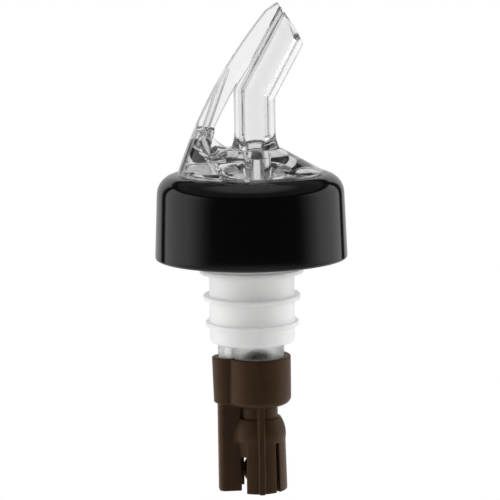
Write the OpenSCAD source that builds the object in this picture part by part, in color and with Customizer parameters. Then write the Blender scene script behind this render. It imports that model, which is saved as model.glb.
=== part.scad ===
// Measured pourer for a bottle: clear spout, black collar, ribbed cork, twin metering tube,
// timing tail and three steel balls.
// Millimetres. Z is up along the pourer's axis, +X is the way it pours, and the XZ plane is its
// plane of symmetry. The origin lies on the axis, in the middle of the sealing rib.

/* [Cork] */
// Diameter of the cork's sleeve between its ribs
cork_d = 18.2; // [17.4:0.1:19.4]
// Diameter of the sealing rib that grips the bottle neck
seal_rib_d = 20.8; // [19.6:0.1:22]
// Diameter of the lead-in rib below the sealing rib
lead_rib_d = 19.9; // [19:0.1:20.6]
// Diameter of the wide ribs above the sealing rib
wide_rib_d = 22.2; // [21:0.1:24.4]
// Distance from one rib to the next
rib_pitch = 5.7; // [4:0.1:7]
// Thickness of a rib
rib_t = 1; // [0.8:0.05:1.6]
// Radius of a rib's rounded edges
rib_edge_r = 0.15; // [0.05:0.05:0.3]
// Distance from the sealing rib down to the cork's lower end
cork_drop = 9.8; // [8:0.1:14]
// Radius of the cork's lower edge
cork_edge_r = 0.9; // [0.3:0.1:1.4]

/* [Collar] */
// Outer diameter of the collar at its lower edge
collar_d = 41; // [37:0.5:46]
// Outer diameter of the collar below its shoulder
collar_upper_d = 39.4; // [36:0.2:40]
// Height of the collar
collar_h = 18; // [14:0.5:24]
// Distance from the sealing rib up to the collar's lower edge
collar_rise = 8.4; // [6:0.1:12]
// Radius of the collar's shoulder
collar_shoulder_r = 4; // [2:0.1:5]
// Thickness of the collar's skirt
collar_wall = 1.6; // [1:0.1:2.4]
// Thickness of the collar's top plate
collar_plate = 2; // [1.2:0.1:3]
// Radius of the collar's lower edge
collar_lip_r = 0.5; // [0.2:0.05:0.7]
// Height of the round seat for the cork under the collar's plate
seat_ring_h = 0.6; // [0.3:0.1:1.2]
// Margin of that seat round the cork
seat_ring_margin = 0.5; // [0.2:0.1:1]

/* [Spout] */
// Diameter of the spout's base
base_d = 30.8; // [28:0.2:31.2]
// Height of the upright edge of the base
base_edge_h = 0.4; // [0.2:0.1:1]
// Height of the sloped part of the base
base_cone_h = 4.75; // [4:0.05:5.2]
// Slope of the base, from level, in degrees
base_slope = 29.2; // [27:0.1:34]
// Outer diameter of the riser and the pouring tube
riser_d = 8.8; // [7.6:0.1:9.6]
// Diameter of the liquid bore
spout_bore_d = 4.3; // [3:0.1:5.2]
// Radius of the fillet between the riser and the base
riser_fillet_r = 7; // [5:0.1:8]
// How far round that fillet turns, in degrees
fillet_turn = 32; // [24:1:38]
// Height of the bend above the collar
bend_h = 17; // [15:0.1:20]
// Lean of the pouring tube from upright, in degrees
spout_lean = 28.7; // [22:0.1:34]
// Length of the pouring tube along its axis
spout_l = 16.3; // [12:0.1:20]
// Slant of the mouth from upright, in degrees
mouth_slant = 31.7; // [26:0.1:40]
// Thickness of the air strut, seen from the side
strut_t = 3.6; // [3.2:0.1:4.2]
// Width of the air strut, seen from behind
strut_w = 4.6; // [3.6:0.1:5.4]
// How far the strut's back bows out of a straight line
strut_bow = 1.85; // [1.2:0.05:2.6]
// Height of the strut's back above the pouring tube's axis at the mouth
strut_top = 5.9; // [5:0.1:6.4]
// Height of the strut's nose above the pouring tube's axis at the mouth
nose_top = 4.6; // [4.4:0.05:4.9]
// Half width of the strut's foot where it meets the rim
foot_half_w = 14; // [10:0.1:14.4]
// Height of the flared foot above the collar
foot_h = 9.6; // [8.6:0.1:11]
// Distance from the axis back to the foot's flank at the collar
flank_x = 6.5; // [5:0.1:8]
// How far the foot's flank is hollowed towards the back
flank_bow = 2; // [1.2:0.1:2.4]
// How far the foot's sides bulge out
flare_bow = 2.6; // [1.5:0.1:3]
// Height of the gusset between the strut and the riser, above the collar
gusset_h = 8.6; // [7.6:0.1:9]
// Diameter of the strut's air bore
vent_d = 1.6; // [1:0.1:2]
// Distance of the air bore from the base's rim, at the collar
vent_inset = 2.5; // [2.2:0.1:3]
// Height above the collar at which the air bore leaves the strut's back
vent_h = 22.3; // [20:0.1:24]
// Width of the air groove under the base
groove_w = 1.8; // [1.4:0.1:2.2]
// Depth of the air groove under the base
groove_h = 1.2; // [0.8:0.1:1.6]

/* [Balls] */
// Diameter of the metering ball
metering_ball_d = 9.525; // [8.4:0.025:9.8]
// Diameter of the trigger ball
trigger_ball_d = 7.144; // [6.4:0.02:7.4]
// Diameter of the breather ball
breather_ball_d = 3.175; // [2.6:0.025:3.3]
// Room left between a resting ball and its seat
rest_gap = 0.05; // [0.02:0.01:0.1]

/* [Metering tube] */
// Distance of the metering tube's axis from the pourer's axis
tube_offset = 1.1; // [0.8:0.05:1.4]
// Distance of the breather's axis from the pourer's axis
breather_offset = 5.3; // [5:0.05:5.6]
// Radial room round the metering ball
metering_room = 0.16; // [0.08:0.01:0.3]
// Wall of the metering tube
tube_wall = 0.75; // [0.6:0.05:0.9]
// Diameter of the breather bore
breather_bore_d = 2.3; // [1.6:0.05:2.4]
// Wall of the breather tube
breather_wall = 0.95; // [0.7:0.05:1.05]
// Radial room between the tube and what is pushed on it
tube_fit = 0.05; // [0.02:0.01:0.1]
// Length of tube that shows between the cork and the tail
tube_gap = 3.15; // [2.4:0.05:5]
// Height of the liquid inlets in the tube
inlet_h = 2; // [1:0.1:2.2]
// Width of a liquid inlet
inlet_w = 3; // [1.5:0.1:3.6]
// Turn of the inlets and the timing ports from the side of the tube, in degrees
inlet_turn = 24; // [20:1:40]
// Thickness of the outlet seal
seal_t = 0.5; // [0.3:0.05:0.7]
// Diameter of the opening in the outlet seal
seal_hole_d = 5.2; // [4.8:0.1:5.6]

/* [Tail] */
// Wall of the tail's cup round the tube
cup_wall = 1.35; // [1:0.05:1.6]
// Height of the cup
cup_h = 10.45; // [9:0.05:13]
// Depth of the socket that takes the tube's end
socket_depth = 5.95; // [4.5:0.05:7]
// Height of the timing step below the tube's end
step_h = 1; // [0.8:0.05:1.6]
// Radius of the cup's lower edge
cup_edge_r = 1.5; // [0.5:0.1:2]
// Diameter of a timing port in the cup
port_d = 0.8; // [0.4:0.05:0.8]
// Diameter of the bore in the neck
neck_bore_d = 4.4; // [3.4:0.1:4.8]
// Diameter of the neck
neck_d = 8.3; // [7.4:0.1:8.8]
// Length of the neck
neck_l = 2.95; // [2:0.05:4]
// Diameter of the bell's top edge
bell_top_d = 9.4; // [9:0.1:10]
// Diameter of the bell's rim
bell_d = 11.5; // [11:0.1:12]
// Height of the bell
bell_h = 5.05; // [4:0.05:6]
// Height of the seat barrel below the bell's rim
barrel_h = 3.4; // [2.8:0.1:4]
// Diameter of the seat barrel at the rim
barrel_d = 10; // [9.6:0.1:10.4]
// Diameter of the seat barrel at its lower end
barrel_low_d = 9; // [8.8:0.1:9.4]
// Height of the cone that the trigger ball seats on
seat_h = 2.4; // [1.8:0.1:2.7]
// Length of the cage below the bell's rim
cage_l = 10.85; // [10.4:0.05:13]
// Outer diameter of the cage at its lower end
cage_d = 12.1; // [11.6:0.1:12.6]
// Radial room round the trigger ball
trigger_room = 0.42; // [0.3:0.01:0.5]
// Height of the toes that hold the trigger ball
toe_h = 2.1; // [1.6:0.05:2.4]
// Diameter of the opening between the toes
toe_hole_d = 5.8; // [5:0.1:6.2]
// Width of the slots beside the front finger
slot_w = 0.85; // [0.6:0.05:1.2]
// Turn of a slot from the middle of the finger, in degrees
slot_turn = 37.7; // [34:0.1:42]
// Width of the window at the back of the cage
window_w = 6; // [4:0.1:6.2]
// Height of the window at the back of the cage
window_h = 6.65; // [4:0.05:7]
// Width of the ridge on the front and back
ridge_w = 1.2; // [0.8:0.05:1.6]
// Distance of the ridge's face from the tail's axis
ridge_r = 6.7; // [6.5:0.05:7]
// Width of the air leg along X
leg_w = 4.8; // [4.6:0.05:5]
// Depth of the air leg along Y
leg_d = 4.6; // [4.4:0.05:5.2]
// Radius of the air leg's outer corners
leg_corner_r = 1.3; // [0.6:0.05:1.6]
// Radial room round the breather ball
breather_room = 0.16; // [0.1:0.01:0.2]
// Height of the lip that holds the breather ball
leg_lip_h = 0.9; // [0.6:0.05:1.4]
// Diameter of the hole in that lip
leg_lip_d = 2.4; // [1.8:0.05:2.5]
// Length of the breather ball's way above the lip
ball_way_l = 5.85; // [4.5:0.05:8]

/* [Hidden] */
$fn = 96;
// Points on each curved stretch of an outline
arc_steps = 14;
// Overrun of a cut past the face it opens
cut = 0.5;
// How far the gusset's edge is hollowed
gusset_bow = 0.7;
// How far the riser's fillet starts below the top of the base
fillet_sink = 0.2;
// How far the bell's flank bulges
bell_bow = 0.5;
// Margin round the twin tube in the collar's hole
hole_margin = 0.2;
// Radial room round the seal and the tube's head in the collar's hole
head_room = 0.1;

// Heights of the collar and the cork
collar_z = collar_rise;
base_z = collar_z + collar_h;
plate_z = base_z - collar_plate;
cork_top_z = plate_z - seat_ring_h;
cork_low_z = -cork_drop;
// Ribs from the lead-in rib upwards, as heights and diameters
rib_list = [[-rib_pitch, lead_rib_d], [0, seal_rib_d], [rib_pitch, wide_rib_d],
    [2 * rib_pitch, wide_rib_d]];

// Metering tube and breather
metering_bore_r = metering_ball_d / 2 + metering_room;
tube_r = metering_bore_r + tube_wall;
breather_r = breather_bore_d / 2 + breather_wall;
tail_top_z = cork_low_z - tube_gap;
tube_low_z = tail_top_z - socket_depth;
head_top_z = base_z - seal_t;
// Hole in the collar's plate, which takes the seal and the tube's head
collar_hole_r = max(breather_offset + breather_r, tube_offset + tube_r) + hole_margin;
head_r = collar_hole_r - head_room;

// Tail heights, from the cup down
cup_floor_z = tube_low_z - step_h;
neck_z = tail_top_z - cup_h;
bell_z = neck_z - neck_l;
rim_z = bell_z - bell_h;
barrel_z = rim_z - barrel_h;
tail_z = rim_z - cage_l;
toe_z = tail_z + toe_h;
cage_bore_r = trigger_ball_d / 2 + trigger_room;
leg_bore_r = breather_ball_d / 2 + breather_room;
leg_lip_z = tail_z + leg_lip_h;
leg_shoulder_z = leg_lip_z + ball_way_l;
cup_r = tube_r + tube_fit + cup_wall;
bump_r = breather_r + tube_fit + cup_wall;
// The bump's lower end is a little slimmer than its top, and ends above the cup's lower face
bump_taper = 0.3;
bump_lift = 0.5;

// Where each ball rests, as the height of its centre
function rests_on_hole(z, ball_d, hole_d) = z + sqrt(pow(ball_d / 2, 2) - pow(hole_d / 2, 2)) + rest_gap;
metering_rest_z = rests_on_hole(cup_floor_z, metering_ball_d, neck_bore_d);
trigger_rest_z = rests_on_hole(toe_z, trigger_ball_d, toe_hole_d);
breather_rest_z = rests_on_hole(leg_lip_z, breather_ball_d, leg_lip_d);

// Spout
riser_r = riser_d / 2;
bend = [tube_offset, base_z + bend_h];
lean_dir = [sin(spout_lean), cos(spout_lean)];
lean_up = [-cos(spout_lean), sin(spout_lean)];
mouth = bend + spout_l * lean_dir;
// How far the mouth's plane runs along the tube for each millimetre away from its axis
mouth_run = tan(90 - spout_lean - mouth_slant);
cone_top_z = base_z + base_edge_h + base_cone_h;
cone_top_r = base_d / 2 - base_cone_h / tan(base_slope);
// The strut's back runs from the base's rim to the back of the mouth
strut_foot = [-sqrt(pow(base_d / 2, 2) - pow(strut_w / 2, 2)), base_z + base_edge_h / 2];
strut_head = mouth + strut_top * lean_up;
strut_chord = norm(strut_head - strut_foot);
strut_r = (pow(strut_chord / 2, 2) + pow(strut_bow, 2)) / (2 * strut_bow);
strut_along = (strut_head - strut_foot) / strut_chord;
strut_centre = (strut_foot + strut_head) / 2 + (strut_bow - strut_r) * [-strut_along[1], strut_along[0]];
strut_from = 180 - asin((strut_foot[1] - strut_centre[1]) / strut_r);
strut_to = 180 - asin((strut_head[1] - strut_centre[1]) / strut_r);
strut_inner_from = 180 - asin((strut_foot[1] - strut_centre[1]) / (strut_r - strut_t));
foot_top_z = base_z + foot_h;
vent_x = vent_inset - base_d / 2;
vent_z = base_z + vent_h;

// Where the strut's outline, set in from its back, lies at a height
function strut_x(inset, z) = strut_centre[0] - sqrt(pow(strut_r - inset, 2) - pow(z - strut_centre[1], 2));

// Arc from a to b whose middle stands bow to the left of the straight line, as points
function arc_points(a, b, bow) =
    let (
        chord = norm(b - a),
        along = (b - a) / chord,
        left = [-along[1], along[0]] * sign(bow),
        height = abs(bow),
        radius = (pow(chord / 2, 2) + pow(height, 2)) / (2 * height),
        centre = (a + b) / 2 + left * (height - radius),
        half = asin(chord / (2 * radius))
    )
    [for (i = [0:arc_steps])
        let (t = half * (2 * i / arc_steps - 1))
        centre + radius * (left * cos(t) + along * sin(t))];

// Arc about a centre from one angle to another, as points
function turn_points(centre, radius, from, to) =
    [for (i = [0:arc_steps])
        let (t = from + (to - from) * i / arc_steps)
        centre + radius * [cos(t), sin(t)]];

// Extrudes an XZ outline evenly to both sides of the plane of symmetry
module side_plate(width) {
    rotate([90, 0, 0])
        linear_extrude(width, center = true)
            children();
}

// Twin round column over the tube's two axes
module twin(main_r, small_r, z, h) {
    translate([tube_offset, 0, z])
        cylinder(r = main_r, h = h);
    translate([-breather_offset, 0, z])
        cylinder(r = small_r, h = h);
}

// Column on the metering tube's axis
module on_tube_axis(z) {
    translate([tube_offset, 0, z])
        children();
}

// Column on the breather's axis
module on_breather_axis(z) {
    translate([-breather_offset, 0, z])
        children();
}

// Round base with its upright edge and slope
module spout_base() {
    rotate_extrude()
        polygon([[0, base_z], [base_d / 2, base_z], [base_d / 2, base_z + base_edge_h],
            [cone_top_r, cone_top_z], [0, cone_top_z]]);
}

// Round column from a height up to the bend and on past the mouth, its two stretches mitred together
module mitred_way(r, low_z) {
    drop = bend[1] - low_z;
    block = 2 * (spout_l + drop);
    on_tube_axis(bend[1]) {
        difference() {
            translate([0, 0, -drop])
                cylinder(r = r, h = drop + r);
            rotate([0, spout_lean / 2, 0])
                translate([-block / 2, -block / 2, 0])
                    cube(block);
        }
        difference() {
            rotate([0, spout_lean, 0])
                translate([0, 0, -r])
                    cylinder(r = r, h = spout_l + strut_top + r);
            rotate([0, spout_lean / 2, 0])
                translate([-block / 2, -block / 2, -block])
                    cube(block);
        }
    }
}

// Riser with the fillet at its foot, and the leaning pouring tube cut off at the mouth
module spout_riser() {
    fillet_z = cone_top_z - fillet_sink + riser_fillet_r * sin(fillet_turn);
    on_tube_axis(0)
        rotate_extrude()
            polygon(concat([[0, base_z + base_edge_h]],
                turn_points([riser_r + riser_fillet_r, fillet_z], riser_fillet_r, 180 + fillet_turn, 180),
                [[0, fillet_z]]));
    mitred_way(riser_r, base_z + base_edge_h);
}

// Air strut: a bowed band up the back, its flared foot and the gusset at its root
module spout_strut() {
    nose = mouth + nose_top * (lean_up + mouth_run * lean_dir);
    side_plate(strut_w)
        polygon(concat(turn_points(strut_centre, strut_r, strut_from, strut_to), [nose, mouth],
            turn_points(strut_centre, strut_r - strut_t, strut_to, strut_inner_from)));
    strut_gusset();
    foot_flare();
}

// Web that fills the corner between the strut and the base
module strut_gusset() {
    low_z = base_z + base_edge_h;
    top_z = base_z + gusset_h;
    top = [strut_x(strut_t, top_z), top_z];
    end = [tube_offset - riser_r, cone_top_z];
    side_plate(strut_w)
        polygon(concat(arc_points(top, end, -gusset_bow), [[end[0], low_z], [top[0] - strut_t / 2, low_z]]));
}

// Foot: the strut's back turned about the axis, kept behind the flank and within the flared sides
module foot_flare() {
    side = strut_w / 2;
    edge_z = base_z + base_edge_h;
    back = [for (i = [0:arc_steps])
        let (z = base_z + foot_h * i / arc_steps)
        [min(-strut_x(0, z), base_d / 2), z]];
    flank = arc_points([-flank_x, base_z], [strut_x(strut_t, foot_top_z), foot_top_z], flank_bow);
    intersection() {
        rotate_extrude()
            polygon(concat([[0, base_z]], back, [[0, foot_top_z]]));
        side_plate(base_d)
            polygon(concat(flank, [[-base_d, foot_top_z], [-base_d, base_z]]));
        rotate([90, 0, 90])
            linear_extrude(2 * base_d, center = true)
                polygon(concat([[-foot_half_w, base_z], [foot_half_w, base_z]],
                    arc_points([foot_half_w, edge_z], [side, foot_top_z], -flare_bow),
                    arc_points([-side, foot_top_z], [-foot_half_w, edge_z], -flare_bow)));
    }
}

// Liquid way, air way and mouth
module spout_cuts() {
    mitred_way(spout_bore_d / 2, base_z - cut);
    // Slanted mouth
    block = base_d;
    translate([mouth[0], 0, mouth[1]])
        rotate([0, 90 - mouth_slant, 0])
            translate([-block / 2, -block / 2, 0])
                cube(block);
    // Air groove from the seal's air opening to the foot of the strut
    groove_x = vent_x - vent_d / 2;
    translate([groove_x, -groove_w / 2, base_z - cut])
        cube([breather_bore_d / 2 - breather_offset - groove_x, groove_w, groove_h + cut]);
    // Air bore up the strut, from the middle of the groove's height to the strut's back
    vent_run = [strut_x(0, vent_z) - vent_x, vent_h];
    vent_skip = groove_h / 2 * norm(vent_run) / vent_h;
    translate([vent_x, 0, base_z])
        rotate([0, atan2(vent_run[0], vent_run[1]), 0])
            translate([0, 0, vent_skip])
                cylinder(d = vent_d, h = norm(vent_run) - vent_skip);
}

module spout() {
    color([0.9, 0.93, 0.95, 0.5])
        difference() {
            union() {
                spout_base();
                spout_riser();
                spout_strut();
            }
            spout_cuts();
        }
}

module outlet_seal() {
    color([0.45, 0.45, 0.45])
        difference() {
            translate([0, 0, head_top_z])
                cylinder(r = head_r, h = seal_t);
            twin(seal_hole_d / 2, breather_bore_d / 2, head_top_z - cut, seal_t + 2 * cut);
        }
}

module collar() {
    low_r = collar_d / 2;
    high_r = collar_upper_d / 2;
    shoulder_z = base_z - collar_shoulder_r;
    seat_r = cork_d / 2 + seat_ring_margin;
    color([0.04, 0.04, 0.045])
        rotate_extrude()
            polygon(concat(
                [[collar_hole_r, base_z], [collar_hole_r, cork_top_z], [seat_r, cork_top_z], [seat_r, plate_z],
                    [high_r - collar_wall, plate_z], [low_r - collar_wall, collar_z]],
                turn_points([low_r - collar_lip_r, collar_z + collar_lip_r], collar_lip_r, 270, 360),
                turn_points([high_r - collar_shoulder_r, shoulder_z], collar_shoulder_r, 0, 90)));
}

// One rib of the cork: a short land with rounded edges
module rib_outline(z, d) {
    land = rib_t - 2 * rib_edge_r;
    translate([0, z - land / 2])
        square([d / 2, land]);
    translate([0, z - rib_t / 2])
        square([d / 2 - rib_edge_r, rib_t]);
    for (side = [-1, 1])
        translate([d / 2 - rib_edge_r, z + side * land / 2])
            circle(r = rib_edge_r);
}

module cork() {
    color([0.86, 0.86, 0.84])
        difference() {
            rotate_extrude() {
                polygon(concat([[0, cork_low_z]],
                    turn_points([cork_d / 2 - cork_edge_r, cork_low_z + cork_edge_r], cork_edge_r, 270, 360),
                    [[cork_d / 2, cork_top_z], [0, cork_top_z]]));
                for (rib = rib_list)
                    rib_outline(rib[0], rib[1]);
            }
            twin(tube_r + tube_fit, breather_r + tube_fit, cork_low_z - cut, cork_top_z - cork_low_z + 2 * cut);
        }
}

module metering_tube() {
    color([0.85, 0.87, 0.88, 0.6])
        difference() {
            union() {
                twin(tube_r, breather_r, tube_low_z, cork_top_z - tube_low_z);
                translate([0, 0, cork_top_z])
                    cylinder(r = head_r, h = head_top_z - cork_top_z);
            }
            twin(metering_bore_r, breather_bore_d / 2, tube_low_z - cut, head_top_z - tube_low_z + 2 * cut);
            // Liquid inlets at the back, between the cork and the tail
            for (side = [-1, 1])
                on_tube_axis(cork_low_z - (tube_gap + inlet_h) / 2)
                    rotate([0, 0, 90 + side * inlet_turn])
                        translate([metering_bore_r - tube_wall, -inlet_w / 2, 0])
                            cube([3 * tube_wall, inlet_w, inlet_h]);
        }
}

// Turned outside of the tail, from the cup down to the seat barrel
module tail_body() {
    on_tube_axis(0)
        rotate_extrude()
            polygon(concat([[0, tail_top_z], [0, barrel_z], [barrel_low_d / 2, barrel_z], [barrel_d / 2, rim_z],
                [bell_d / 2, rim_z]],
                arc_points([bell_d / 2, rim_z], [bell_top_d / 2, bell_z], -bell_bow),
                [[neck_d / 2, bell_z], [neck_d / 2, neck_z]],
                turn_points([cup_r - cup_edge_r, neck_z + cup_edge_r], cup_edge_r, 270, 360),
                [[cup_r, tail_top_z]]));
    bump_z = neck_z + bump_lift;
    on_breather_axis(bump_z)
        cylinder(r1 = bump_r - bump_taper, r2 = bump_r, h = tail_top_z - bump_z);
}

// Legs of the cage with the toes: a slot on one side of the front finger, open to the air leg on the
// other side, and the back window
module tail_cage() {
    open_w = cage_d / 2;
    difference() {
        on_tube_axis(tail_z)
            cylinder(d1 = cage_d, d2 = bell_d, h = cage_l);
        on_tube_axis(tail_z - cut)
            rotate([0, 0, 270 + slot_turn])
                translate([0, -slot_w / 2, 0])
                    cube([cage_d, slot_w, cage_l + cut]);
        on_tube_axis(tail_z - cut)
            rotate([0, 0, 270 - slot_turn])
                translate([0, slot_w / 2 - open_w, 0])
                    cube([cage_d, open_w, cage_l + cut]);
        on_tube_axis(tail_z - cut)
            translate([-window_w / 2, 0, 0])
                cube([window_w, cage_d, window_h + cut]);
    }
}

// Air leg below the bump, with its outer corners rounded
module tail_leg() {
    flat = leg_w - leg_corner_r;
    right = -breather_offset + leg_w / 2;
    h = neck_z + cup_edge_r - tail_z;
    translate([right - flat, -leg_d / 2, tail_z])
        cube([flat, leg_d, h]);
    translate([right - leg_w, -leg_d / 2 + leg_corner_r, tail_z])
        cube([leg_w, leg_d - 2 * leg_corner_r, h]);
    for (side = [-1, 1])
        translate([right - flat, side * (leg_d / 2 - leg_corner_r), tail_z])
            cylinder(r = leg_corner_r, h = h);
}

// Ridges on the front finger and, shorter, above the back window
module tail_ridges() {
    on_tube_axis(tail_z)
        translate([-ridge_w / 2, -ridge_r, 0])
            cube([ridge_w, ridge_r - cage_bore_r, neck_z + cup_edge_r - tail_z]);
    on_tube_axis(tail_z + window_h)
        translate([-ridge_w / 2, 0, 0])
            cube([ridge_w, ridge_r, neck_z + cup_edge_r - tail_z - window_h]);
}

// Sockets, liquid way, ball ways and timing ports
module tail_cuts() {
    twin(tube_r + tube_fit, breather_r + tube_fit, tube_low_z, socket_depth + cut);
    on_tube_axis(cup_floor_z)
        cylinder(r = metering_bore_r, h = step_h + cut);
    on_tube_axis(tail_z - cut)
        cylinder(d = toe_hole_d, h = cage_l);
    on_tube_axis(toe_z)
        cylinder(r = cage_bore_r, h = barrel_z - toe_z);
    on_tube_axis(barrel_z)
        cylinder(r1 = cage_bore_r, d2 = neck_bore_d, h = seat_h);
    on_tube_axis(barrel_z)
        cylinder(d = neck_bore_d, h = cup_floor_z - barrel_z + cut);
    on_breather_axis(tail_z - cut)
        cylinder(d = leg_lip_d, h = leg_lip_h + 2 * cut);
    on_breather_axis(leg_lip_z)
        cylinder(r = leg_bore_r, h = ball_way_l);
    on_breather_axis(leg_lip_z)
        cylinder(d = breather_bore_d, h = tube_low_z - leg_lip_z + cut);
    for (side = [-1, 1])
        on_tube_axis(cup_floor_z + step_h / 2)
            rotate([0, 90, 90 + side * inlet_turn])
                cylinder(d = port_d, h = 2 * cup_r);
}

module tail() {
    color([0.2, 0.15, 0.12])
        difference() {
            union() {
                tail_body();
                tail_cage();
                tail_leg();
                tail_ridges();
            }
            tail_cuts();
        }
}

module metering_ball() {
    color([0.75, 0.75, 0.76])
        on_tube_axis(metering_rest_z)
            sphere(d = metering_ball_d);
}

module trigger_ball() {
    color([0.75, 0.75, 0.76])
        on_tube_axis(trigger_rest_z)
            sphere(d = trigger_ball_d);
}

module breather_ball() {
    color([0.75, 0.75, 0.76])
        on_breather_axis(breather_rest_z)
            sphere(d = breather_ball_d);
}

spout();
outlet_seal();
collar();
cork();
metering_tube();
tail();
metering_ball();
trigger_ball();
breather_ball();
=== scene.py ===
"""Dresses a measured pourer: clear spout, black collar, milky cork, frosted tube, brown tail, steel balls.

Every length is in metres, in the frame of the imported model: Z is up along the pourer's axis and +X is
the way it pours.
"""
import math

import bmesh
import bpy
from bpy.props import FloatProperty, FloatVectorProperty, IntProperty, PointerProperty
from mathutils import Matrix, Vector


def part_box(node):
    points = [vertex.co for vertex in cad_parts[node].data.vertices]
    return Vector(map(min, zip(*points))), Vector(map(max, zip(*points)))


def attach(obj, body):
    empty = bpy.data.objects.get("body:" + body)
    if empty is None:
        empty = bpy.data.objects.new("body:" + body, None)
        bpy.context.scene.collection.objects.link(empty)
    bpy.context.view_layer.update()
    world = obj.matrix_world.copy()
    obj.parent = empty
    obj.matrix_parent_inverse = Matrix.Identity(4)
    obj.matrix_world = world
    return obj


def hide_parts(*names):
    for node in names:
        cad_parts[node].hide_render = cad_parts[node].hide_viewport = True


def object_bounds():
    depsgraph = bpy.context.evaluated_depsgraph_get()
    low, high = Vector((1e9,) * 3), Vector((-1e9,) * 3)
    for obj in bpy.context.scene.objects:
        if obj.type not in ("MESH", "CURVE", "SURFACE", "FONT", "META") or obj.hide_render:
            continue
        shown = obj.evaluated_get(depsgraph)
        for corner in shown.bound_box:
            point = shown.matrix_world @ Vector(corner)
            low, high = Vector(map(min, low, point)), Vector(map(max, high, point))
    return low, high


bl_info = {
    "name": "Measured pourer",
    "version": (1, 0, 0),
    "blender": (4, 5, 0),
    "location": "View3D > Sidebar > Pourer",
    "description": "Models and finishes the pieces of a measured pourer for a bottle",
    "category": "Object",
}

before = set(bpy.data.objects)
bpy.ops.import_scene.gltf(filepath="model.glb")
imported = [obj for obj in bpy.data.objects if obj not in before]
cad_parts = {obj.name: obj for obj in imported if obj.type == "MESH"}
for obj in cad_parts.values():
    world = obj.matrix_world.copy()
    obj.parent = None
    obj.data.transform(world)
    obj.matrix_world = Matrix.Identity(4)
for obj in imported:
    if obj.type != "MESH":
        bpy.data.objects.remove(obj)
cad_low, cad_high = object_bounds()

MM = 0.001
# Distance below which two vertices are one
MERGE = 1e-7


def length(name, description, millimetres):
    """A length property, given in millimetres and held in metres."""
    return FloatProperty(name=name, description=description, default=millimetres * MM,
                         min=0.0, precision=5, unit="LENGTH")


def angle(name, description, degrees):
    """An angle property, given in degrees and held in radians."""
    return FloatProperty(name=name, description=description, default=math.radians(degrees), subtype="ANGLE")


def power(name, description, watts):
    """A lamp's power in watts."""
    return FloatProperty(name=name, description=description, default=watts, min=0.0, unit="POWER")


def colour(name, description, red, green, blue):
    """A plain colour property."""
    return FloatVectorProperty(name=name, description=description, default=(red, green, blue),
                               min=0.0, max=1.0, size=3, subtype="COLOR")


class PourerSizes(bpy.types.PropertyGroup):
    """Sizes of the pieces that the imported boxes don't give."""

    segments: IntProperty(name="Segments", description="Steps round a turned piece", default=160, min=24)
    ball_steps: IntProperty(name="Ball steps", description="Subdivisions of a ball", default=5, min=3, max=6)
    spout_crease: angle("Spout crease", "Angle from which the spout's edges stay crisp", 23)
    seal_crease: angle("Seal crease", "Angle from which the outlet seal's edges stay crisp", 40)
    tube_crease: angle("Tube crease", "Angle from which the metering tube's edges stay crisp", 30)
    tail_grain: length("Tail grain", "Size of the remesh that rounds the tail's edges", 0.17)
    tail_rounds: IntProperty(name="Tail rounds", description="Times that the remeshed tail is smoothed",
                             default=2, min=0)
    seat_gap: length("Seat gap", "Air left between the spout and what it sits on", 0.03)
    collar_upper_radius: length("Collar's upper radius", "Outer radius below the shoulder", 19.7)
    collar_shoulder: length("Collar's shoulder", "Radius of the collar's shoulder", 4.0)
    collar_wall: length("Collar's wall", "Thickness of the collar's skirt", 1.6)
    collar_plate: length("Collar's plate", "Thickness of the collar's top", 2.0)
    collar_hole: length("Collar's hole", "Radius of the hole in the collar's top", 7.6)
    collar_lip: length("Collar's lip", "Radius of the collar's lower edge", 0.5)
    cork_seat: length("Cork's seat", "Radius of the round seat for the cork under the collar's top", 9.6)
    cork_radius: length("Cork's radius", "Radius of the sleeve between the ribs", 9.1)
    cork_edge: length("Cork's edge", "Radius of the cork's lower edge", 0.9)
    rib_pitch: length("Rib pitch", "Distance from one rib to the next", 5.7)
    rib_thickness: length("Rib thickness", "Thickness of a rib", 1.0)
    rib_edge: length("Rib edge", "Radius of a rib's edges", 0.2)
    rib_root: length("Rib root", "Radius of the corner between a rib and the sleeve", 0.12)
    lead_rib: length("Lead-in rib", "Radius of the lowest rib", 9.95)
    seal_rib: length("Sealing rib", "Radius of the rib above it", 10.4)
    wide_rib: length("Wide rib", "Radius of the upper ribs", 11.1)
    tube_offset: length("Tube offset", "Distance of the tube's axis from the pourer's axis", 1.1)
    breather_offset: length("Breather offset", "Distance of the breather's axis from the pourer's axis", 5.3)
    tube_socket: length("Tube socket", "Radius of the cork's bore round the tube", 5.7225)
    breather_socket: length("Breather socket", "Radius of the cork's bore round the breather", 2.15)
    seal_hole: length("Seal hole", "Radius of the opening in the outlet seal", 2.6)
    air_hole: length("Air hole", "Radius of the air opening in the outlet seal", 1.15)
    seal_edge: length("Seal edge", "Radius of the outlet seal's edges", 0.12)


class PourerColours(bpy.types.PropertyGroup):
    """Colours of the finishes, and the index and soft edges of the clear one."""

    clear: colour("Clear plastic", "Tint of the spout", 0.94, 0.942, 0.945)
    clear_index: FloatProperty(name="Index", description="Refractive index of the clear plastic",
                               default=1.55, min=1.3, max=1.8)
    clear_edge: length("Clear edge", "Radius to which light sees the spout's edges rounded", 0.35)
    frosted: colour("Frosted plastic", "Tint of the metering tube", 0.97, 0.97, 0.965)
    milky: colour("Milky plastic", "Colour of the cork", 0.88, 0.88, 0.87)
    black: colour("Black plastic", "Colour of the collar", 0.004, 0.004, 0.0045)
    black_dust: colour("Dust on black", "Colour of the fine dust on the collar", 0.02, 0.02, 0.021)
    brown: colour("Brown plastic", "Colour of the tail", 0.046, 0.023, 0.0095)
    brown_pale: colour("Pale brown", "Colour of the tail where the melt flowed thin", 0.062, 0.033, 0.015)
    rubber: colour("Grey rubber", "Colour of the outlet seal", 0.2, 0.2, 0.2)
    steel: colour("Steel", "Colour of the balls", 0.72, 0.71, 0.69)


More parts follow.
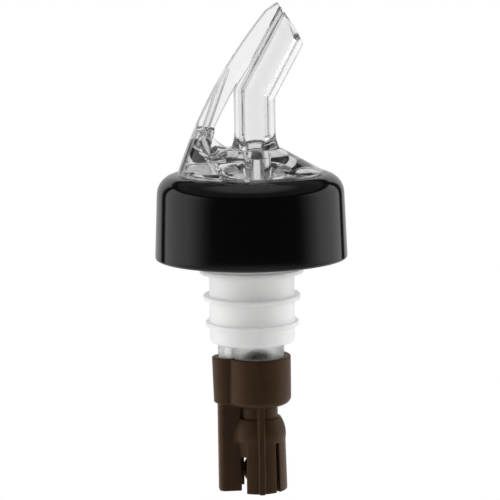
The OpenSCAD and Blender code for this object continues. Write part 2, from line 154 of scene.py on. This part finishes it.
class PourerStage(bpy.types.PropertyGroup):
    """Camera, lights and floor."""

    azimuth: angle("Azimuth", "Camera's turn round the pourer", -5.5)
    elevation: angle("Elevation", "Camera's height above the horizon", 8.98)
    roll: angle("Roll", "Camera's lean", -0.788)
    distance: length("Distance", "Camera's distance from the aim", 436.5)
    aim_height: length("Aim height", "Height of the camera's aim on the axis", 9.93)
    aim_left: length("Aim left", "How far the aim lies to the left of the axis", 0.28)
    lens: FloatProperty(name="Lens", description="Focal length in millimetres", default=147.6, unit="CAMERA")
    floor_drop: length("Floor drop", "Distance of the floor below the pourer", 120.0)
    floor_radius: length("Floor radius", "Radius of the floor", 900.0)
    floor_grey: colour("Floor grey", "Colour of the floor where it shows its shadow", 0.86, 0.86, 0.86)
    shadow_reach: length("Shadow reach", "Radius within which the floor shows its shadow in full", 150.0)
    white_from: length("White from", "Radius from which the floor is plain white", 380.0)
    side_power: power("Side lamps", "Power of each lamp at the side", 4.5)
    top_power: power("Top lamp", "Power of the lamp overhead", 1.0)
    front_power: power("Front lamp", "Power of the lamp that lights the cork alone", 1.5)


# Meshes

def new_piece(name, mesh, node, material, body="root"):
    """Links a finished mesh as a piece that stands for a CAD node."""
    piece = bpy.data.objects.new(name, mesh)
    bpy.context.scene.collection.objects.link(piece)
    mesh.materials.clear()
    mesh.materials.append(material)
    mesh.shade_smooth()
    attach(piece, body)
    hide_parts(node)
    return piece


def mesh_from(work, name):
    """Closes a bmesh into a mesh with outward normals."""
    bmesh.ops.remove_doubles(work, verts=work.verts, dist=MERGE)
    bmesh.ops.recalc_face_normals(work, faces=work.faces)
    mesh = bpy.data.meshes.new(name)
    work.to_mesh(mesh)
    work.free()
    return mesh


def round_ring(work, radius_of_ring, height, edge_radius, segments=6):
    """Bevels the ring of edges that lies at a radius and a height."""
    tolerance = 1e-6

    def on_ring(vert):
        return (abs(vert.co.xy.length - radius_of_ring) < tolerance
                and abs(vert.co.z - height) < tolerance)

    ring = [edge for edge in work.edges if all(on_ring(vert) for vert in edge.verts)]
    if not ring:
        raise RuntimeError(f"no ring at radius {radius_of_ring} and height {height}")
    bmesh.ops.bevel(work, geom=ring, offset=edge_radius, offset_type="OFFSET", affect="EDGES",
                    segments=segments, profile=0.5, material=-1, clamp_overlap=True)


def turned(outline, segments):
    """Spins a closed outline of (radius, height, edge radius) corners about Z and rounds its corners."""
    work = bmesh.new()
    corners = [work.verts.new((corner[0], 0.0, corner[1])) for corner in outline]
    edges = [work.edges.new((corners[i - 1], corners[i])) for i in range(len(corners))]
    bmesh.ops.spin(work, geom=corners + edges, cent=(0, 0, 0), axis=(0, 0, 1), dvec=(0, 0, 0),
                   angle=math.tau, steps=segments, use_merge=True, use_duplicate=False)
    bmesh.ops.remove_doubles(work, verts=work.verts, dist=MERGE)
    bmesh.ops.recalc_face_normals(work, faces=work.faces)
    for corner in outline:
        if corner[2] > 0.0:
            round_ring(work, corner[0], corner[1], corner[2])
    return work


def cut_columns(mesh, columns, low, high, segments):
    """Cuts upright round holes, given as (x, radius), through a mesh."""
    target = bpy.data.objects.new("target", mesh)
    bpy.context.scene.collection.objects.link(target)
    cutters = []
    for x, radius in columns:
        work = bmesh.new()
        bmesh.ops.create_cone(work, cap_ends=True, segments=segments, radius1=radius, radius2=radius,
                              depth=high - low, matrix=Matrix.Translation((x, 0, (low + high) / 2)))
        cutter = bpy.data.objects.new("cutter", mesh_from(work, "cutter"))
        bpy.context.scene.collection.objects.link(cutter)
        cut = target.modifiers.new("hole", "BOOLEAN")
        cut.operation = "DIFFERENCE"
        cut.solver = "EXACT"
        cut.object = cutter
        cutters.append(cutter)
    result = evaluated_mesh(target)
    for spent in [target, *cutters]:
        bpy.data.objects.remove(spent)
    return result


def evaluated_mesh(piece):
    """A new mesh with a piece's modifiers applied."""
    bpy.context.view_layer.update()
    graph = bpy.context.evaluated_depsgraph_get()
    return bpy.data.meshes.new_from_object(piece.evaluated_get(graph))


def crisp_copy(node, name):
    """A merged copy of a CAD node's mesh."""
    work = bmesh.new()
    work.from_mesh(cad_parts[node].data)
    return mesh_from(work, name)


def moulded_copy(node, grain, rounds):
    """A copy of a CAD node's mesh, remeshed and smoothed so that its edges are rounded as moulded ones."""
    source = bpy.data.objects.new("source", crisp_copy(node, node + "_moulded"))
    bpy.context.scene.collection.objects.link(source)
    remesh = source.modifiers.new("grain", "REMESH")
    remesh.mode = "VOXEL"
    remesh.voxel_size = grain
    remesh.use_smooth_shade = True
    soften = source.modifiers.new("soften", "SMOOTH")
    soften.factor = 0.5
    soften.iterations = rounds
    result = evaluated_mesh(source)
    bpy.data.objects.remove(source)
    return result


def shrink(mesh, amount):
    """Moves every face of a mesh inwards by an amount."""
    normals = [vert.normal.copy() for vert in mesh.vertices]
    for vert, normal in zip(mesh.vertices, normals):
        vert.co -= normal * amount
    mesh.update()


# Materials

def place(tree, kind, inputs=None, **settings):
    """Adds a node, with its settings and the values of its inputs."""
    node = tree.nodes.new(kind)
    for key, value in settings.items():
        setattr(node, key, value)
    for key, value in (inputs or {}).items():
        node.inputs[key].default_value = value
    return node


def new_group(name, inputs, outputs):
    """An empty shader group with float inputs and outputs; gives its tree, input and output nodes."""
    tree = bpy.data.node_groups.new(name, "ShaderNodeTree")
    for label, value in inputs.items():
        tree.interface.new_socket(label, in_out="INPUT", socket_type="NodeSocketFloat").default_value = value
    for label in outputs:
        tree.interface.new_socket(label, in_out="OUTPUT", socket_type="NodeSocketFloat")
    return tree, tree.nodes.new("NodeGroupInput"), tree.nodes.new("NodeGroupOutput")


def moulded_skin_group():
    """Fine grain and slow waves of a moulded surface, as heights and as a patchy value."""
    name = "moulded_skin"
    if name in bpy.data.node_groups:
        return bpy.data.node_groups[name]
    tree, given, result = new_group(name, {"Grain Scale": 6000.0, "Wave Scale": 160.0},
                                    ["Grain", "Wave", "Patch"])
    where = place(tree, "ShaderNodeTexCoord")
    grain = place(tree, "ShaderNodeTexNoise", {"Detail": 3.0, "Roughness": 0.6})
    wave = place(tree, "ShaderNodeTexNoise", {"Detail": 1.0, "Roughness": 0.4})
    patch = place(tree, "ShaderNodeTexNoise", {"Detail": 4.0, "Roughness": 0.55, "Distortion": 0.6})
    double = place(tree, "ShaderNodeMath", {1: 2.0}, operation="MULTIPLY")
    for texture in (grain, wave, patch):
        tree.links.new(where.outputs["Object"], texture.inputs["Vector"])
    tree.links.new(given.outputs["Grain Scale"], grain.inputs["Scale"])
    tree.links.new(given.outputs["Wave Scale"], wave.inputs["Scale"])
    tree.links.new(given.outputs["Wave Scale"], double.inputs[0])
    tree.links.new(double.outputs[0], patch.inputs["Scale"])
    tree.links.new(grain.outputs["Fac"], result.inputs["Grain"])
    tree.links.new(wave.outputs["Fac"], result.inputs["Wave"])
    tree.links.new(patch.outputs["Fac"], result.inputs["Patch"])
    return tree


def handling_marks_group():
    """Faint rubbed lines and specks from handling, as masks from 0 to 1."""
    name = "handling_marks"
    if name in bpy.data.node_groups:
        return bpy.data.node_groups[name]
    tree, given, result = new_group(name, {"Line Scale": 300.0, "Speck Scale": 1800.0, "Turn": 0.6},
                                    ["Lines", "Specks"])
    where = place(tree, "ShaderNodeTexCoord")
    turn = place(tree, "ShaderNodeVectorRotate", rotation_type="AXIS_ANGLE")
    stretch = place(tree, "ShaderNodeMapping", {"Scale": (1.0, 1.0, 0.06)})
    lines = place(tree, "ShaderNodeTexNoise", {"Detail": 2.0, "Roughness": 0.5})
    sharpen = place(tree, "ShaderNodeMapRange", {"From Min": 0.62, "From Max": 0.72})
    specks = place(tree, "ShaderNodeTexVoronoi", feature="F1")
    thin = place(tree, "ShaderNodeMapRange", {"From Min": 0.16, "From Max": 0.05})
    tree.links.new(where.outputs["Object"], turn.inputs["Vector"])
    tree.links.new(given.outputs["Turn"], turn.inputs["Angle"])
    tree.links.new(turn.outputs["Vector"], stretch.inputs["Vector"])
    tree.links.new(stretch.outputs["Vector"], lines.inputs["Vector"])
    tree.links.new(given.outputs["Line Scale"], lines.inputs["Scale"])
    tree.links.new(lines.outputs["Fac"], sharpen.inputs["Value"])
    tree.links.new(where.outputs["Object"], specks.inputs["Vector"])
    tree.links.new(given.outputs["Speck Scale"], specks.inputs["Scale"])
    tree.links.new(specks.outputs["Distance"], thin.inputs["Value"])
    tree.links.new(sharpen.outputs["Result"], result.inputs["Lines"])
    tree.links.new(thin.outputs["Result"], result.inputs["Specks"])
    return tree


class Finish:
    """A material with one principled shader, and short ways to feed it."""

    def __init__(self, name, **sockets):
        self.material = bpy.data.materials.new(name)
        self.material.use_nodes = True
        self.tree = self.material.node_tree
        self.tree.nodes.clear()
        self.shader = self.add("ShaderNodeBsdfPrincipled", sockets)
        self.output = self.add("ShaderNodeOutputMaterial")
        self.tree.links.new(self.shader.outputs["BSDF"], self.output.inputs["Surface"])

    def add(self, kind, inputs=None, **settings):
        """Adds a node to the material."""
        return place(self.tree, kind, inputs, **settings)

    def group(self, tree, **inputs):
        """Places a shared group; underscores in the names stand for spaces."""
        node = self.add("ShaderNodeGroup", node_tree=tree)
        for key, value in inputs.items():
            node.inputs[key.replace("_", " ")].default_value = value
        return node

    def feed(self, value, socket):
        """Links a value to the shader."""
        self.tree.links.new(value, self.shader.inputs[socket])

    def spread(self, value, low, high):
        """Maps a value from 0 to 1 onto a range."""
        node = self.add("ShaderNodeMapRange", {"To Min": low, "To Max": high})
        self.tree.links.new(value, node.inputs["Value"])
        return node.outputs["Result"]

    def mix(self, value, first, second):
        """Mixes two colours by a value."""
        node = self.add("ShaderNodeMix", data_type="RGBA")
        node.inputs["A"].default_value = (*first, 1.0)
        node.inputs["B"].default_value = (*second, 1.0)
        self.tree.links.new(value, node.inputs["Factor"])
        return node.outputs["Result"]

    def bump(self, value, strength, depth, under=None):
        """Feeds a height to the shader's normal; gives the bump node."""
        node = self.add("ShaderNodeBump", {"Strength": strength, "Distance": depth})
        self.tree.links.new(value, node.inputs["Height"])
        if under is not None:
            self.tree.links.new(under.outputs["Normal"], node.inputs["Normal"])
        self.feed(node.outputs["Normal"], "Normal")
        return node


def darker(tint, share):
    """A colour with a share of its light."""
    return tuple(channel * share for channel in tint)


def clear_plastic(colours):
    """Polished clear plastic with softened edges, faint flow waves and rubbed lines."""
    finish = Finish("clear_plastic", **{
        "Base Color": (*colours.clear, 1.0), "IOR": colours.clear_index, "Transmission Weight": 1.0})
    skin = finish.group(moulded_skin_group(), Wave_Scale=120.0)
    marks = finish.group(handling_marks_group(), Line_Scale=260.0)
    finish.feed(finish.spread(marks.outputs["Lines"], low=0.015, high=0.06), "Roughness")
    softened = finish.add("ShaderNodeBevel", {"Radius": colours.clear_edge}, samples=6)
    finish.bump(skin.outputs["Wave"], strength=0.05, depth=0.2 * MM, under=softened)
    return finish.material


def frosted_plastic(colours):
    """Clear plastic with a frosted skin."""
    finish = Finish("frosted_plastic", **{
        "Base Color": (*colours.frosted, 1.0), "IOR": 1.22, "Transmission Weight": 1.0})
    skin = finish.group(moulded_skin_group(), Grain_Scale=2600.0, Wave_Scale=300.0)
    finish.feed(finish.spread(skin.outputs["Patch"], low=0.45, high=0.6), "Roughness")
    finish.bump(skin.outputs["Grain"], strength=1.0, depth=0.3 * MM)
    return finish.material


def milky_plastic(colours):
    """Soft milky plastic that lets some light through."""
    finish = Finish("milky_plastic", **{
        "Base Color": (*colours.milky, 1.0), "Subsurface Weight": 0.6, "Subsurface Scale": 0.004,
        "IOR": 1.4, "Transmission Weight": 0.2})
    finish.shader.inputs["Subsurface Radius"].default_value = (1.0, 0.97, 0.93)
    skin = finish.group(moulded_skin_group(), Grain_Scale=4000.0, Wave_Scale=240.0)
    finish.feed(finish.mix(skin.outputs["Patch"], colours.milky, darker(colours.milky, 0.96)), "Base Color")
    finish.feed(finish.spread(skin.outputs["Patch"], low=0.3, high=0.45), "Roughness")
    finish.bump(skin.outputs["Grain"], strength=0.12, depth=0.05 * MM)
    return finish.material


def black_plastic(colours):
    """Polished black plastic with a little dust and a few rubbed lines."""
    finish = Finish("black_plastic", **{"IOR": 1.5})
    skin = finish.group(moulded_skin_group(), Grain_Scale=5000.0, Wave_Scale=90.0)
    marks = finish.group(handling_marks_group(), Line_Scale=220.0, Speck_Scale=1500.0, Turn=0.9)
    finish.feed(finish.mix(marks.outputs["Specks"], colours.black, colours.black_dust), "Base Color")
    finish.feed(finish.spread(marks.outputs["Lines"], low=0.07, high=0.13), "Roughness")
    finish.bump(skin.outputs["Wave"], strength=0.02, depth=0.2 * MM)
    return finish.material


def brown_plastic(colours):
    """Dark brown moulded plastic with a fine grain and paler flow patches."""
    finish = Finish("brown_plastic", **{"IOR": 1.5, "Specular IOR Level": 0.12})
    skin = finish.group(moulded_skin_group(), Grain_Scale=5200.0, Wave_Scale=200.0)
    marks = finish.group(handling_marks_group(), Line_Scale=420.0, Turn=0.35)
    finish.feed(finish.mix(skin.outputs["Patch"], colours.brown, colours.brown_pale), "Base Color")
    finish.feed(finish.spread(skin.outputs["Patch"], low=0.28, high=0.38), "Roughness")
    under = finish.bump(skin.outputs["Grain"], strength=0.25, depth=0.06 * MM)
    finish.bump(marks.outputs["Lines"], strength=0.08, depth=0.03 * MM, under=under)
    return finish.material


def grey_rubber(colours):
    """Soft grey rubber."""
    finish = Finish("grey_rubber", **{"IOR": 1.45})
    skin = finish.group(moulded_skin_group(), Grain_Scale=7000.0, Wave_Scale=300.0)
    finish.feed(finish.mix(skin.outputs["Patch"], colours.rubber, darker(colours.rubber, 0.85)), "Base Color")
    finish.feed(finish.spread(skin.outputs["Patch"], low=0.55, high=0.7), "Roughness")
    finish.bump(skin.outputs["Grain"], strength=0.2, depth=0.05 * MM)
    return finish.material


def ball_steel(colours):
    """Polished steel with fine rolling marks."""
    finish = Finish("ball_steel", **{"Base Color": (*colours.steel, 1.0), "Metallic": 1.0})
    marks = finish.group(handling_marks_group(), Line_Scale=700.0, Turn=1.1)
    finish.feed(finish.spread(marks.outputs["Lines"], low=0.08, high=0.22), "Roughness")
    finish.bump(marks.outputs["Lines"], strength=0.04, depth=0.01 * MM)
    return finish.material


# Pieces

class POURER_OT_spout(bpy.types.Operator):
    """Makes the clear spout, whose edges the shading rounds"""

    bl_idname = "pourer.spout"
    bl_label = "Spout"

    def execute(self, context):
        sizes = context.scene.pourer_sizes
        mesh = crisp_copy("spout", "spout_crisp")
        shrink(mesh, sizes.seat_gap)
        piece = new_piece("clear_spout", mesh, "spout",
                          clear_plastic(context.scene.pourer_colours))
        mesh.set_sharp_from_angle(angle=sizes.spout_crease)
        # The larger faces lead the shading, so that the narrow ones between them look round
        lead_of_large_faces = 100
        even = piece.modifiers.new("even", "WEIGHTED_NORMAL")
        even.keep_sharp = True
        even.weight = lead_of_large_faces
        return {"FINISHED"}


class POURER_OT_seal(bpy.types.Operator):
    """Turns the soft disc under the spout and opens its two ways"""

    bl_idname = "pourer.seal"
    bl_label = "Outlet seal"

    def execute(self, context):
        sizes = context.scene.pourer_sizes
        low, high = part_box("outlet_seal")
        outer = (high.x - low.x) / 2
        work = turned([(0.0, low.z, 0.0), (outer, low.z, sizes.seal_edge),
                       (outer, high.z, sizes.seal_edge), (0.0, high.z, 0.0)], sizes.segments)
        mesh = cut_columns(mesh_from(work, "soft_seal"),
                           [(sizes.tube_offset, sizes.seal_hole), (-sizes.breather_offset, sizes.air_hole)],
                           low.z - MM, high.z + MM, sizes.segments)
        new_piece("soft_seal", mesh, "outlet_seal",
                  grey_rubber(context.scene.pourer_colours))
        mesh.set_sharp_from_angle(angle=sizes.seal_crease)
        return {"FINISHED"}


class POURER_OT_collar(bpy.types.Operator):
    """Turns the glossy black collar"""

    bl_idname = "pourer.collar"
    bl_label = "Collar"

    def execute(self, context):
        sizes = context.scene.pourer_sizes
        low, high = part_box("collar")
        outer = (high.x - low.x) / 2
        upper = sizes.collar_upper_radius
        plate = high.z - sizes.collar_plate
        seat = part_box("cork")[1].z
        wall = sizes.collar_wall
        inner_edge = sizes.collar_lip / 2
        work = turned([(sizes.collar_hole, high.z, inner_edge), (sizes.collar_hole, seat, inner_edge),
                       (sizes.cork_seat, seat, inner_edge), (sizes.cork_seat, plate, inner_edge),
                       (upper - wall, plate, wall), (outer - wall, low.z, inner_edge),
                       (outer, low.z, sizes.collar_lip), (upper, high.z, sizes.collar_shoulder)],
                      sizes.segments)
        new_piece("black_collar", mesh_from(work, "black_collar"), "collar",
                  black_plastic(context.scene.pourer_colours))
        return {"FINISHED"}


class POURER_OT_cork(bpy.types.Operator):
    """Turns the ribbed milky cork and bores it for the twin tube"""

    bl_idname = "pourer.cork"
    bl_label = "Cork"

    def execute(self, context):
        sizes = context.scene.pourer_sizes
        low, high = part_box("cork")
        core = sizes.cork_radius
        half = sizes.rib_thickness / 2
        outline = [(0.0, low.z, 0.0), (core, low.z, sizes.cork_edge)]
        for step, radius in enumerate([sizes.lead_rib, sizes.seal_rib, sizes.wide_rib, sizes.wide_rib]):
            middle = (step - 1) * sizes.rib_pitch
            outline += [(core, middle - half, sizes.rib_root), (radius, middle - half, sizes.rib_edge),
                        (radius, middle + half, sizes.rib_edge), (core, middle + half, sizes.rib_root)]
        outline += [(core, high.z, 0.0), (0.0, high.z, 0.0)]
        mesh = mesh_from(turned(outline, sizes.segments), "milky_cork")
        mesh = cut_columns(mesh, [(sizes.tube_offset, sizes.tube_socket),
                                  (-sizes.breather_offset, sizes.breather_socket)],
                           low.z - MM, high.z + MM, sizes.segments)
        new_piece("milky_cork", mesh, "cork",
                  milky_plastic(context.scene.pourer_colours))
        return {"FINISHED"}


class POURER_OT_tube(bpy.types.Operator):
    """Makes the frosted twin tube"""

    bl_idname = "pourer.tube"
    bl_label = "Metering tube"

    def execute(self, context):
        mesh = crisp_copy("metering_tube", "frosted_tube")
        new_piece("frosted_tube", mesh, "metering_tube",
                  frosted_plastic(context.scene.pourer_colours))
        mesh.set_sharp_from_angle(angle=context.scene.pourer_sizes.tube_crease)
        return {"FINISHED"}


class POURER_OT_tail(bpy.types.Operator):
    """Makes the brown timing tail, with the rounded edges of a moulding"""

    bl_idname = "pourer.tail"
    bl_label = "Tail"

    def execute(self, context):
        sizes = context.scene.pourer_sizes
        mesh = moulded_copy("tail", sizes.tail_grain, sizes.tail_rounds)
        new_piece("brown_tail", mesh, "tail",
                  brown_plastic(context.scene.pourer_colours))
        return {"FINISHED"}


class POURER_OT_balls(bpy.types.Operator):
    """Makes the three steel balls, each on its own body"""

    bl_idname = "pourer.balls"
    bl_label = "Balls"

    def execute(self, context):
        steel = ball_steel(context.scene.pourer_colours)
        for node in ("metering_ball", "trigger_ball", "breather_ball"):
            low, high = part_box(node)
            work = bmesh.new()
            bmesh.ops.create_icosphere(work, subdivisions=context.scene.pourer_sizes.ball_steps,
                                       radius=(high.z - low.z) / 2,
                                       matrix=Matrix.Translation((low + high) / 2))
            new_piece("steel_" + node, mesh_from(work, node), node, steel, body=node)
        return {"FINISHED"}


# Stage

def calc(tree, operation, first, second=0.0):
    """Adds a maths node whose inputs are sockets or plain numbers; gives its output."""
    node = place(tree, "ShaderNodeMath", operation=operation)
    for socket, value in zip(node.inputs, (first, second)):
        if isinstance(value, (int, float)):
            socket.default_value = value
        else:
            tree.links.new(value, socket)
    return node.outputs[0]


def ease(tree, value, low, high, start, end):
    """Runs smoothly from start to end while a value goes from low to high."""
    node = place(tree, "ShaderNodeMapRange",
                 {"From Min": low, "From Max": high, "To Min": start, "To Max": end},
                 interpolation_type="SMOOTHSTEP")
    tree.links.new(value, node.inputs["Value"])
    return node.outputs["Result"]


def between(tree, share_of_second, first, second):
    """Mixes two values, which are sockets or plain numbers."""
    rest = calc(tree, "SUBTRACT", 1.0, share_of_second)
    part_of_first = calc(tree, "MULTIPLY", first, rest)
    part_of_second = calc(tree, "MULTIPLY", second, share_of_second)
    return calc(tree, "ADD", part_of_first, part_of_second)


def straight_rays(tree, path):
    """1 for rays from the camera and rays that clear plastic let through without mirroring them inside."""
    under_one_mirroring = 0.5
    unmirrored = calc(tree, "LESS_THAN", path.outputs["Glossy Depth"], under_one_mirroring)
    through = calc(tree, "MULTIPLY", path.outputs["Is Transmission Ray"], unmirrored)
    return calc(tree, "MAXIMUM", path.outputs["Is Camera Ray"], through)


def floor_material(stage):
    """A white floor with the pourer's shadow, plain white further out and clear from below."""
    material = bpy.data.materials.new("white_floor")
    material.use_nodes = True
    tree = material.node_tree
    tree.nodes.clear()
    matt = place(tree, "ShaderNodeBsdfDiffuse", {"Color": (*stage.floor_grey, 1.0)})
    white = place(tree, "ShaderNodeEmission", {"Color": (1.0, 1.0, 1.0, 1.0), "Strength": 1.0})
    where = place(tree, "ShaderNodeTexCoord")
    reach = place(tree, "ShaderNodeVectorMath", operation="LENGTH")
    path = place(tree, "ShaderNodeLightPath")
    mix = place(tree, "ShaderNodeMixShader")
    output = place(tree, "ShaderNodeOutputMaterial")
    tree.links.new(where.outputs["Object"], reach.inputs[0])
    far = ease(tree, reach.outputs["Value"], low=stage.shadow_reach, high=stage.white_from,
               start=0.0, end=1.0)
    tree.links.new(calc(tree, "MULTIPLY", far, straight_rays(tree, path)), mix.inputs["Fac"])
    tree.links.new(matt.outputs["BSDF"], mix.inputs[1])
    tree.links.new(white.outputs["Emission"], mix.inputs[2])
    side = place(tree, "ShaderNodeNewGeometry")
    clear = place(tree, "ShaderNodeBsdfTransparent")
    one_sided = place(tree, "ShaderNodeMixShader")
    tree.links.new(side.outputs["Backfacing"], one_sided.inputs["Fac"])
    tree.links.new(mix.outputs["Shader"], one_sided.inputs[1])
    tree.links.new(clear.outputs["BSDF"], one_sided.inputs[2])
    tree.links.new(one_sided.outputs["Shader"], output.inputs["Surface"])
    return material


def studio_walls(tree, front, wall_behind, lamp_behind):
    """Brightness of the studio by direction: dark in front, a soft box with a dark frame at each side,
    a pale wall behind with a lamp above it, and a dark ceiling with a light overhead."""
    where = place(tree, "ShaderNodeTexCoord")
    split = place(tree, "ShaderNodeSeparateXYZ")
    tree.links.new(where.outputs["Generated"], split.inputs[0])
    box_level = 0.8
    far_frame_level = 0.02
    upper_frame_level = 0.03
    ceiling_level = 0.12
    overhead_level = 0.65
    # A little over 1 keeps the root above 0 straight up
    over_one = 1.001
    rise = split.outputs["Z"]
    level = calc(tree, "SQRT", calc(tree, "SUBTRACT", over_one, calc(tree, "MULTIPLY", rise, rise)))
    behind = calc(tree, "DIVIDE", split.outputs["Y"], level)
    box = ease(tree, behind, low=-0.65, high=0.05, start=front, end=box_level)
    far_frame = ease(tree, behind, low=0.64, high=0.69, start=1.0, end=far_frame_level)
    past_frame = ease(tree, behind, low=0.77, high=0.84, start=0.0, end=1.0)
    around = between(tree, past_frame, calc(tree, "MULTIPLY", box, far_frame), wall_behind)
    upper_frame = ease(tree, rise, low=0.42, high=0.47, start=1.0, end=upper_frame_level)
    overhead = ease(tree, rise, low=0.8, high=0.97, start=ceiling_level, end=overhead_level)
    lamp = ease(tree, behind, low=0.85, high=0.97, start=0.0, end=lamp_behind)
    above_frame = ease(tree, rise, low=0.53, high=0.6, start=0.0, end=1.0)
    return between(tree, above_frame, calc(tree, "MULTIPLY", around, upper_frame),
                   calc(tree, "MAXIMUM", overhead, lamp))


def studio_world():
    """White straight behind the pourer, and the studio in its reflections and as soft light on it."""
    world = bpy.data.worlds.new("studio")
    world.use_nodes = True
    tree = world.node_tree
    tree.nodes.clear()
    path = place(tree, "ShaderNodeLightPath")
    on_gloss = studio_walls(tree, front=0.01, wall_behind=0.6, lamp_behind=0.12)
    in_clear = studio_walls(tree, front=0.25, wall_behind=0.8, lamp_behind=0.85)
    mirrored = between(tree, path.outputs["Is Transmission Ray"], on_gloss, in_clear)
    even_light = 0.02
    on_matt = studio_walls(tree, front=0.01, wall_behind=0.8, lamp_behind=0.12)
    soft = calc(tree, "ADD", on_matt, even_light)
    lit = between(tree, path.outputs["Is Glossy Ray"], soft, mirrored)
    glow = place(tree, "ShaderNodeBackground", {"Color": (1.0, 1.0, 1.0, 1.0)})
    output = place(tree, "ShaderNodeOutputWorld")
    tree.links.new(between(tree, straight_rays(tree, path), lit, 1.0), glow.inputs["Strength"])
    tree.links.new(glow.outputs["Background"], output.inputs["Surface"])
    return world


def soft_lamp(name, place_at, aim, width, height, watts):
    """An area lamp that faces a point."""
    data = bpy.data.lights.new(name, "AREA")
    data.shape = "RECTANGLE"
    data.size = width
    data.size_y = height
    data.energy = watts
    lamp = bpy.data.objects.new(name, data)
    lamp.location = place_at
    lamp.rotation_euler = (Vector(aim) - Vector(place_at)).to_track_quat("-Z", "Y").to_euler()
    lamp.visible_glossy = False
    lamp.visible_transmission = False
    bpy.context.scene.collection.objects.link(lamp)
    return lamp


def light_only(lamp, piece_name):
    """Keeps a lamp's light, and the shadows in it, to one piece."""
    receivers = bpy.data.collections.new(lamp.name + "_receivers")
    receivers.objects.link(bpy.data.objects[piece_name])
    lamp.light_linking.receiver_collection = receivers
    lamp.light_linking.blocker_collection = receivers


class POURER_OT_stage(bpy.types.Operator):
    """Sets up the floor, the lights, the world and the camera"""

    bl_idname = "pourer.stage"
    bl_label = "Stage"

    def execute(self, context):
        stage = context.scene.pourer_stage
        scene = context.scene
        scene.view_settings.view_transform = "Standard"
        # Light mirrored to and fro inside the clear plastic needs more bounces than the default
        scene.cycles.max_bounces = 24
        scene.cycles.glossy_bounces = 16
        scene.cycles.transmission_bounces = 24
        scene.world = studio_world()
        self.add_floor(stage)
        middle = (cad_low + cad_high) / 2
        for side in (-1, 1):
            soft_lamp("side_lamp", place_at=(side * 0.55, 0.08, 0.05), aim=middle, width=0.6, height=0.8,
                      watts=stage.side_power)
        soft_lamp("top_lamp", place_at=(0.0, 0.1, 0.6), aim=middle, width=0.5, height=0.5,
                  watts=stage.top_power)
        # Stands in for the light that passes through the cork's milky wall
        front_lamp = soft_lamp("front_lamp", place_at=(0.0, -0.6, 0.1), aim=middle, width=0.5, height=0.5,
                               watts=stage.front_power)
        light_only(front_lamp, "milky_cork")
        self.add_camera(stage, scene)
        return {"FINISHED"}

    def add_floor(self, stage):
        """Lays the floor well below the pourer."""
        work = bmesh.new()
        height = cad_low.z - stage.floor_drop
        bmesh.ops.create_circle(work, cap_ends=True, segments=96, radius=stage.floor_radius,
                                matrix=Matrix.Translation((0, 0, height)))
        mesh = bpy.data.meshes.new("floor")
        work.to_mesh(mesh)
        work.free()
        mesh.materials.append(floor_material(stage))
        floor = bpy.data.objects.new("floor", mesh)
        bpy.context.scene.collection.objects.link(floor)

    def add_camera(self, stage, scene):
        """Places the camera and aims it at the pourer."""
        turn, rise = stage.azimuth, stage.elevation
        back = Vector((math.sin(turn) * math.cos(rise), -math.cos(turn) * math.cos(rise), math.sin(rise)))
        right = Vector((math.cos(turn), math.sin(turn), 0.0))
        up = back.cross(right)
        aim = Vector((0, 0, stage.aim_height)) - right * stage.aim_left
        lean = Matrix.Rotation(stage.roll, 3, back)
        axes = Matrix((lean @ right, lean @ up, back)).transposed()
        data = bpy.data.cameras.new("camera")
        data.lens = stage.lens
        data.clip_start = 0.01
        camera = bpy.data.objects.new("camera", data)
        camera.matrix_world = Matrix.Translation(aim + back * stage.distance) @ axes.to_4x4()
        scene.collection.objects.link(camera)
        scene.camera = camera


class POURER_PT_panel(bpy.types.Panel):
    """Lists the pourer's pieces in the sidebar"""

    bl_idname = "POURER_PT_panel"
    bl_label = "Measured pourer"
    bl_space_type = "VIEW_3D"
    bl_region_type = "UI"
    bl_category = "Pourer"

    def draw(self, context):
        for operator in OPERATORS:
            self.layout.operator(operator.bl_idname)


OPERATORS = [POURER_OT_spout, POURER_OT_seal, POURER_OT_collar, POURER_OT_cork, POURER_OT_tube,
             POURER_OT_tail, POURER_OT_balls, POURER_OT_stage]
GROUPS = {"pourer_sizes": PourerSizes, "pourer_colours": PourerColours, "pourer_stage": PourerStage}


def register():
    """Adds the pourer's classes and properties."""
    for group in GROUPS.values():
        bpy.utils.register_class(group)
    for operator in OPERATORS:
        bpy.utils.register_class(operator)
    bpy.utils.register_class(POURER_PT_panel)
    for name, group in GROUPS.items():
        setattr(bpy.types.Scene, name, PointerProperty(type=group))


def unregister():
    """Takes the pourer's classes and properties away."""
    for name in GROUPS:
        delattr(bpy.types.Scene, name)
    bpy.utils.unregister_class(POURER_PT_panel)
    for operator in reversed(OPERATORS):
        bpy.utils.unregister_class(operator)
    for group in reversed(GROUPS.values()):
        bpy.utils.unregister_class(group)


def main():
    """Makes every piece and the stage."""
    register()
    bpy.ops.pourer.spout()
    bpy.ops.pourer.seal()
    bpy.ops.pourer.collar()
    bpy.ops.pourer.cork()
    bpy.ops.pourer.tube()
    bpy.ops.pourer.tail()
    bpy.ops.pourer.balls()
    bpy.ops.pourer.stage()


if __name__ == "__main__":
    main()
